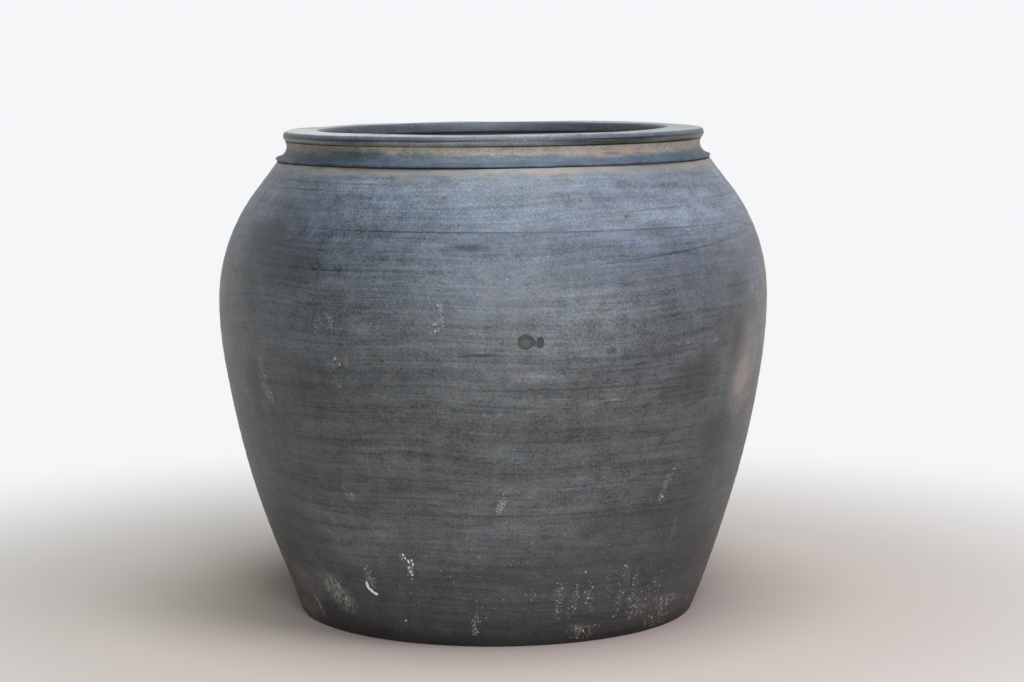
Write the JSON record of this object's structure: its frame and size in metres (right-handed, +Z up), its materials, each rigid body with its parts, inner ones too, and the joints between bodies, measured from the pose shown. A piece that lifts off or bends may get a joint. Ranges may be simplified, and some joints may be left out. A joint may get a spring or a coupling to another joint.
{
  "type": "black clay pot",
  "caption": "Large wide-mouthed jar of unglazed, smoke-blackened clay with a waisted collar and a flat rim; stands on a flat foot and holds water, grain, kindling or a plant.",
  "frame": {"origin": "middle of the flat foot, on the ground", "axes": "+Z up along the jar's axis of turning; +X and +Y are free, since the jar is round"},
  "size_m": [0.46, 0.46, 0.4042],
  "materials": {
    "wall_clay": "unglazed smoke-blackened clay, scraped and lightly burnished, satin on the shoulder and duller below, with wheel lines, lime flecks and handling wear",
    "foot_clay": "unglazed smoke-blackened clay, rough and scuffed from standing on the ground",
    "collar_clay": "unglazed smoke-blackened clay, turned smooth, with tan oxidised patches in the waist",
    "rim_clay": "unglazed smoke-blackened clay, smoothed with a wet cloth, satin, worn paler on top"
  },
  "bodies": {
    "root": {"base_slab": "foot_clay", "heel_course": "foot_clay", "foot_course": "wall_clay", "lower_wall_course": "wall_clay", "middle_wall_course": "wall_clay", "lower_belly_course": "wall_clay", "upper_belly_course": "wall_clay", "shoulder_course": "wall_clay", "top_shoulder_course": "wall_clay", "collar_ring": "collar_clay", "rim_flange": "rim_clay"}
  },
  "joints": []
}
